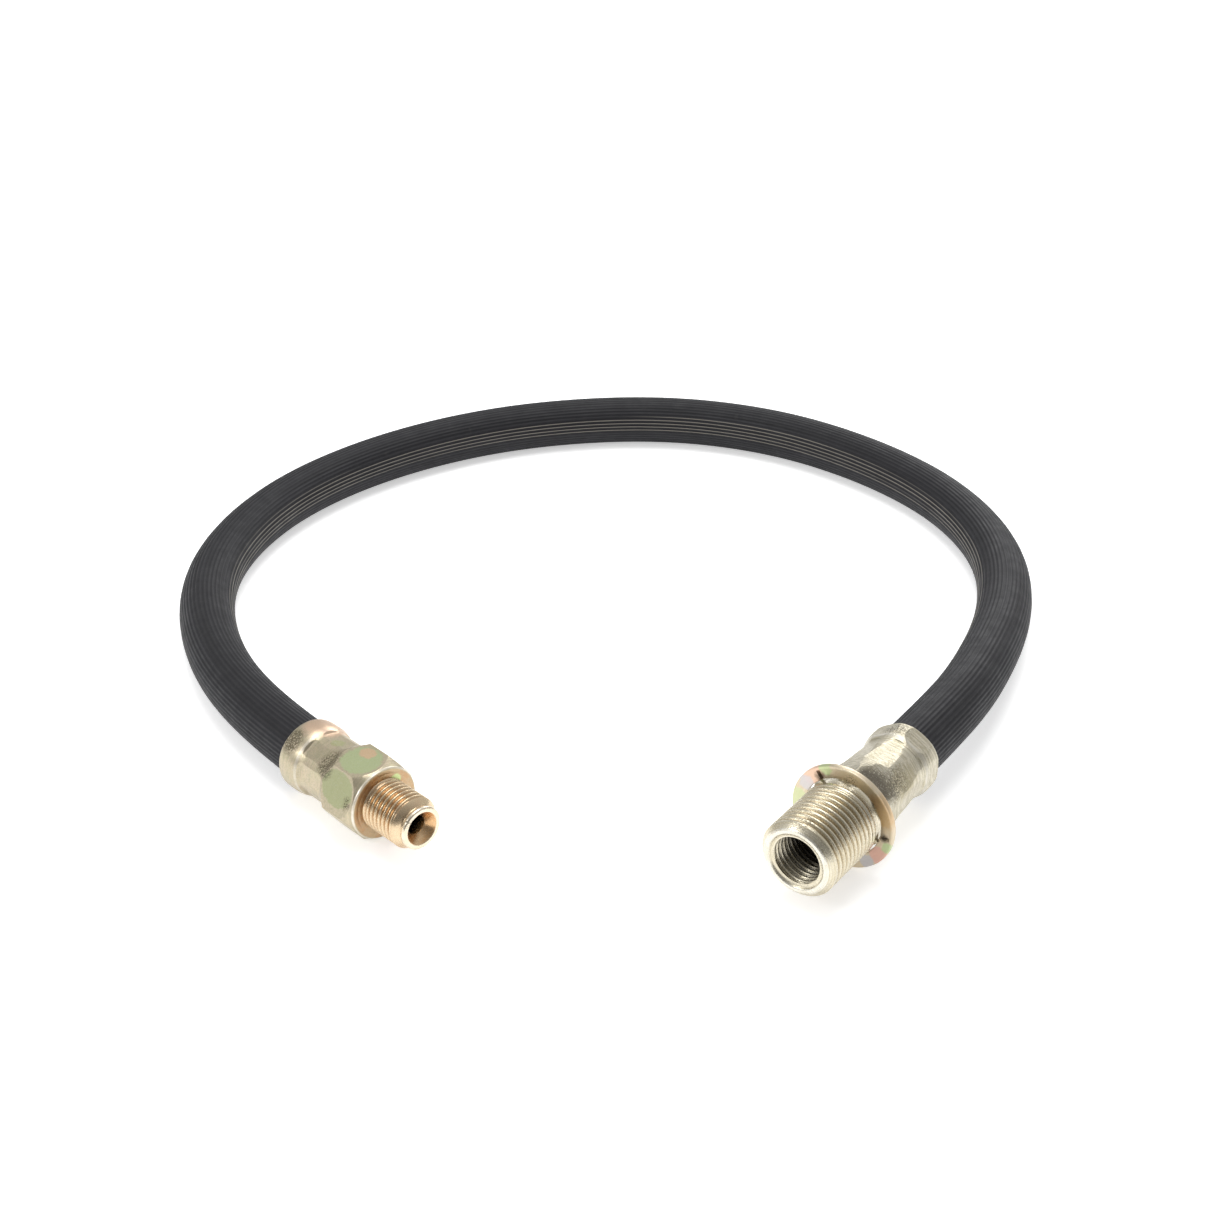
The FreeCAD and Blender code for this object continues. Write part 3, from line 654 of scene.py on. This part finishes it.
femaleHexagon = {"acrossFlats": 12.6, "turn": -31}
femaleBody = lathe("femaleBody", [
    (6.38, 16.7), (6.4, 16.3), (7.0, 16.3), (7.2, 16.5), (7.2, 20.6), (7.0, 21.3), (6.7, 22.6), (6.52, 24.0),
    (6.42, 26.0), (6.2, 29.2), (6.06, 31.2), (6.08, 31.8), (6.2, 32.4), (6.45, 33.1), (6.68, 33.8), (6.79, 34.6),
    (6.8, 35.6), (6.74, 36.6), (6.6, 37.15),
    (6.3, 37.38), (5.98, 37.36), (5.76, 37.2), (5.7, 36.9), (5.7, 34.0), (4.9, 31.9), (4.3, 31.0), (4.3, 16.9),
], 160)
keepHexagon(femaleBody, femaleHexagon["acrossFlats"], femaleHexagon["turn"])
femaleCrimp = {"count": 8, "turn": 8, "crown": 60.0, "apothem": 5.86, "start": 24.0, "end": 33.0, "slope": 1.2}
pressFlats(femaleBody, femaleCrimp)
bevelEdges(femaleBody, "edges", **wornEdge)
seat(femaleBody, femalePlace, femaleSteel, "hose_assembly", 40, True)
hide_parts("female_fitting")
print("female fitting made")

# the flange washer, dished between two slits
washer = {
    "from": -36.0, "to": 97.0, "rim": 9.0, "rimSlope": 0.12, "frontOnly": 15.2,
    "dish": 0.3, "slitHalf": 1.0, "slitDepth": 0.5,
}
washerFinish = {
    "base": (0.56, 0.50, 0.36, 1), "second": (0.62, 0.54, 0.41, 1),
    "mottle": 0.6, "mottleColour": (0.56, 0.42, 0.28, 1), "flecks": 0.35,
    "groove": None, "bands": [], "bore": (1.0, 1.0, 2.0), "relief": 0.45,
    "lineTint": 0.2, "lineColour": (0.80, 0.72, 0.55, 1),
    "turningDensity": 4.0, "turningDepth": 0.3, "dentDepth": 0.7,
    "roughness": 0.33, "grime": (0.12, 0.10, 0.07, 1),
    "blotches": [
        ((6.3, -6.0, 14.95), (1.0, 1.0, 0.5), 2.2, 0.3, 1.5, (0.72, 0.48, 0.36, 1), 0.75),
        ((8.1, -3.8, 14.95), (1.0, 1.0, 0.5), 1.3, 0.3, 1.5, (0.46, 0.56, 0.28, 1), 0.75),
        ((4.2, -7.0, 14.95), (1.0, 1.0, 0.5), 1.6, 0.3, 1.5, (0.52, 0.50, 0.52, 1), 0.75),
        ((0.5, -8.6, 14.95), (1.0, 1.0, 0.5), 2.2, 0.3, 1.8, (0.48, 0.58, 0.30, 1), 0.6),
        ((-4.6, 7.4, 14.95), (1.0, 1.0, 0.5), 1.9, 0.3, 1.2, (0.66, 0.38, 0.32, 1), 0.8),
        ((-6.8, 5.4, 14.95), (1.0, 1.0, 0.5), 1.5, 0.3, 1.2, (0.48, 0.48, 0.52, 1), 0.8),
        ((-2.6, 8.8, 14.95), (1.0, 1.0, 0.5), 1.2, 0.3, 1.5, (0.42, 0.54, 0.28, 1), 0.8),
        # painted shade: a brown blotch over the dished part of the washer
        ((4.0, 7.0, 15.2), (0.7, 0.7, 0.5), 2.6, 0.8, 1.5, (0.56, 0.38, 0.20, 1), 0.7),
    ],
    "scuffs": [
        ((7.5, 1.0, 15.2), (1.0, 1.0, 1.0), 1.5, 0.8, 0.5),
        ((6.3, -4.6, 15.2), (1.0, 1.0, 1.0), 1.2, 0.8, 1.0),
        ((-1.0, 8.0, 15.3), (1.0, 1.0, 1.0), 1.0, 0.6, 1.2),
    ],
}
washerSteel = platedSteel("washerPlating", femalePlace, washerFinish)
flange = lathe("flangeWasher", [
    (7.2, 15.05), (7.3, 14.95), (7.6, 14.95), (8.0, 14.95), (8.4, 14.95), (8.7, 14.95), (8.88, 14.95),
    (8.96, 14.95), (9.04, 14.95), (9.2, 14.95), (9.5, 14.96), (9.61, 15.02), (9.65, 15.15), (9.65, 15.85),
    (9.61, 15.97), (9.5, 16.05), (8.6, 16.05), (7.3, 16.05), (7.2, 15.95),
], 360)
for v in flange.data.vertices:
    angle = math.degrees(math.atan2(v.co.y, v.co.x))
    radius = math.hypot(v.co.x, v.co.y)
    if radius > washer["rim"] or v.co.z > washer["frontOnly"]:
        continue
    into = min(angle - washer["from"], washer["to"] - angle)
    fall = min(1, max(0, (washer["rim"] - radius) / washer["rimSlope"]))
    if into > 0:
        v.co.z += washer["dish"] * fall * min(1, into / 2)
    if min(abs(angle - washer["from"]), abs(angle - washer["to"])) < washer["slitHalf"]:
        v.co.z += washer["slitDepth"] * fall
seat(flange, femalePlace, washerSteel, "washer", 35)
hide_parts("flange_washer")
print("washer made")

# rubber, braid and inserts


def newMaterial(name):
    material = bpy.data.materials.new(name)
    material.use_nodes = True
    tree = material.node_tree
    spot = addNode(tree, "ShaderNodeTexCoord").outputs["Object"]
    return material, tree, tree.nodes["Principled BSDF"], spot


cover = {
    # the rib top colour is a painted highlight
    "deep": (0.006, 0.006, 0.008, 1), "pale": (0.012, 0.012, 0.0155, 1), "ribTopHighlight": (0.032, 0.031, 0.034, 1),
    "dust": (0.24, 0.22, 0.185, 1), "scuff": (0.075, 0.072, 0.07, 1), "dustAround": 0.212, "specular": 0.34,
}


def ribStreaks(tree, ribNumber, along, acrossScale, alongScale, detail):
    # noise drawn out along the hose, of its own on each rib
    streak = addNode(tree, "ShaderNodeCombineXYZ", {
        0: product(tree, ribNumber, acrossScale), 1: product(tree, along, alongScale),
    }).outputs[0]
    return noise(tree, streak, 1.0, detail).outputs[0]


def coverRubber():
    material, tree, shader, spot = newMaterial("coverRubber")
    uv = addNode(tree, "ShaderNodeUVMap", uv_map="alongHose").outputs[0]
    parts = addNode(tree, "ShaderNodeSeparateXYZ", {0: uv})
    around, along = parts.outputs[0], parts.outputs[1]
    # painted highlight: rib tops are lighter, each rib a little differently
    ribPlace = mathNode(tree, "ADD", product(tree, around, float(hose["ribs"])), 0.5)
    ribNumber = mathNode(tree, "FLOOR", ribPlace)
    offTop = mathNode(tree, "ABSOLUTE", mathNode(tree, "SUBTRACT", mathNode(tree, "FRACT", ribPlace), 0.5))
    top = ramp(tree, offTop, 0.16, 0.02)
    perRib = ribStreaks(tree, ribNumber, along, 1.7, 26.0, 3)
    colour = mixColour(tree, ramp(tree, perRib, 0.35, 0.7), cover["deep"], cover["pale"])
    colour = mixColour(tree, product(tree, top, ramp(tree, perRib, 0.35, 0.65, 0.15, 0.75)), colour, cover["ribTopHighlight"])
    # dusty lines along the inner side of the bend
    offLines = mathNode(tree, "ABSOLUTE", mathNode(tree, "SUBTRACT", around, cover["dustAround"]))
    dusty = ribStreaks(tree, ribNumber, along, 3.1, 9.0, 2)
    dustMask = product(tree, ramp(tree, offLines, 0.062, 0.05), top, ramp(tree, dusty, 0.34, 0.46), 0.95)
    colour = mixColour(tree, dustMask, colour, cover["dust"])
    scuff = noise(tree, spot, 260.0, 6, 0.7).outputs[0]
    colour = mixColour(tree, ramp(tree, scuff, 0.62, 0.8, 0.0, 0.4), colour, cover["scuff"])
    tree.links.new(colour, shader.inputs["Base Color"])
    tree.links.new(ramp(tree, scuff, 0.3, 0.7, 0.5, 0.68), shader.inputs["Roughness"])
    shader.inputs["Specular IOR Level"].default_value = cover["specular"]
    grain = noise(tree, spot, 1400.0, 4, 0.6).outputs[0]
    bumped(tree, shader, mathNode(tree, "ADD", grain, product(tree, scuff, 0.6)), 0.35)
    return material


def plainRubber():
    material, tree, shader, spot = newMaterial("tubeRubber")
    grain = noise(tree, spot, 900.0, 5).outputs[0]
    colour = mixColour(tree, grain, (0.015, 0.015, 0.016, 1), (0.035, 0.034, 0.034, 1))
    tree.links.new(colour, shader.inputs["Base Color"])
    tree.links.new(ramp(tree, grain, 0.3, 0.7, 0.5, 0.7), shader.inputs["Roughness"])
    return material


def cordWave(tree, vector):
    links = {"Vector": vector, "Scale": 900.0, "Distortion": 1.5}
    return addNode(tree, "ShaderNodeTexWave", links, bands_direction="DIAGONAL").outputs["Fac"]


def braidCord():
    material, tree, shader, spot = newMaterial("braidCord")
    crossed = addNode(tree, "ShaderNodeMapping", {"Vector": spot, "Rotation": (0, 0, math.radians(90))}).outputs[0]
    weave = mathNode(tree, "MAXIMUM", cordWave(tree, spot), cordWave(tree, crossed))
    colour = mixColour(tree, weave, (0.28, 0.24, 0.18, 1), (0.62, 0.57, 0.46, 1))
    tree.links.new(colour, shader.inputs["Base Color"])
    shader.inputs["Roughness"].default_value = 0.85
    bumped(tree, shader, weave, 0.6)
    return material


hoseTube.data.materials.append(coverRubber())
insertFinish = {
    **femaleThreadFinish, "groove": None,
    "base": (0.55, 0.54, 0.52, 1), "second": (0.48, 0.47, 0.46, 1),
    "scuffs": [((0, 0, 25.0), (1.0, 1.0, 1.0), 3.0, 1.0, 0.5)],
}
tubeRubber, braid = plainRubber(), braidCord()
nodeFinishes = {
    "inner_tube": tubeRubber, "cushion_layer": tubeRubber, "inner_braid": braid, "outer_braid": braid,
    "male_insert": platedSteel("maleInsertSteel", malePlace, insertFinish),
    "female_insert": platedSteel("femaleInsertSteel", femalePlace, insertFinish),
}
for nodeName, material in nodeFinishes.items():
    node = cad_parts[nodeName]
    node.data.materials.clear()
    node.data.materials.append(material)
print("materials made")

# pale floor and soft light
studio = {"floor": 3.0, "albedo": (0.96, 0.96, 0.96, 1), "world": 0.7, "front": 0.22, "glow": 0.5}
bpy.ops.object.select_all(action="DESELECT")
bpy.ops.mesh.primitive_plane_add(size=studio["floor"] * 2, location=(0, 0, 0))
floor = bpy.context.object
floor.name = "floor"
floorPaint = bpy.data.materials.new("floorPaint")
floorPaint.use_nodes = True
paint = floorPaint.node_tree.nodes["Principled BSDF"].inputs
paint["Base Color"].default_value = studio["albedo"]
paint["Roughness"].default_value = 0.9
paint["Specular IOR Level"].default_value = 0.0
paint["Emission Color"].default_value = (1, 1, 1, 1)
paint["Emission Strength"].default_value = studio["glow"]
floor.data.materials.append(floorPaint)

world = bpy.data.worlds.new("studio")
scene.world = world
world.use_nodes = True
worldTree = world.node_tree
# darker behind the camera, so the plating shows its shape
direction = addNode(worldTree, "ShaderNodeTexCoord").outputs["Generated"]
facing = addNode(worldTree, "ShaderNodeSeparateXYZ", {0: direction})
glow = ramp(worldTree, facing.outputs[1], -0.95, 0.1, studio["front"], studio["world"])
worldTree.links.new(glow, worldTree.nodes["Background"].inputs["Strength"])
worldTree.nodes["Background"].inputs["Color"].default_value = (1, 1, 1, 1)

softBoxes = [
    {"name": "overhead", "place": (0.0, 0.15, 0.75), "aim": (0, 0.05, 0), "size": 0.5, "power": 2.8},
    {"name": "leftBox", "place": (-0.6, -0.2, 0.4), "aim": (0, 0, 0), "size": 0.25, "power": 1.0},
    {"name": "backBox", "place": (0.25, 0.7, 0.35), "aim": (0, 0, 0.01), "size": 0.35, "power": 1.2},
]
for box in softBoxes:
    lamp = bpy.data.lights.new(box["name"], "AREA")
    lamp.shape = "DISK"
    lamp.size = box["size"]
    lamp.energy = box["power"]
    holder = bpy.data.objects.new(box["name"], lamp)
    holder.location = box["place"]
    holder.rotation_euler = (Vector(box["place"]) - Vector(box["aim"])).to_track_quat("Z", "Y").to_euler()
    scene.collection.objects.link(holder)
scene.view_settings.view_transform = "Standard"
print("studio made")
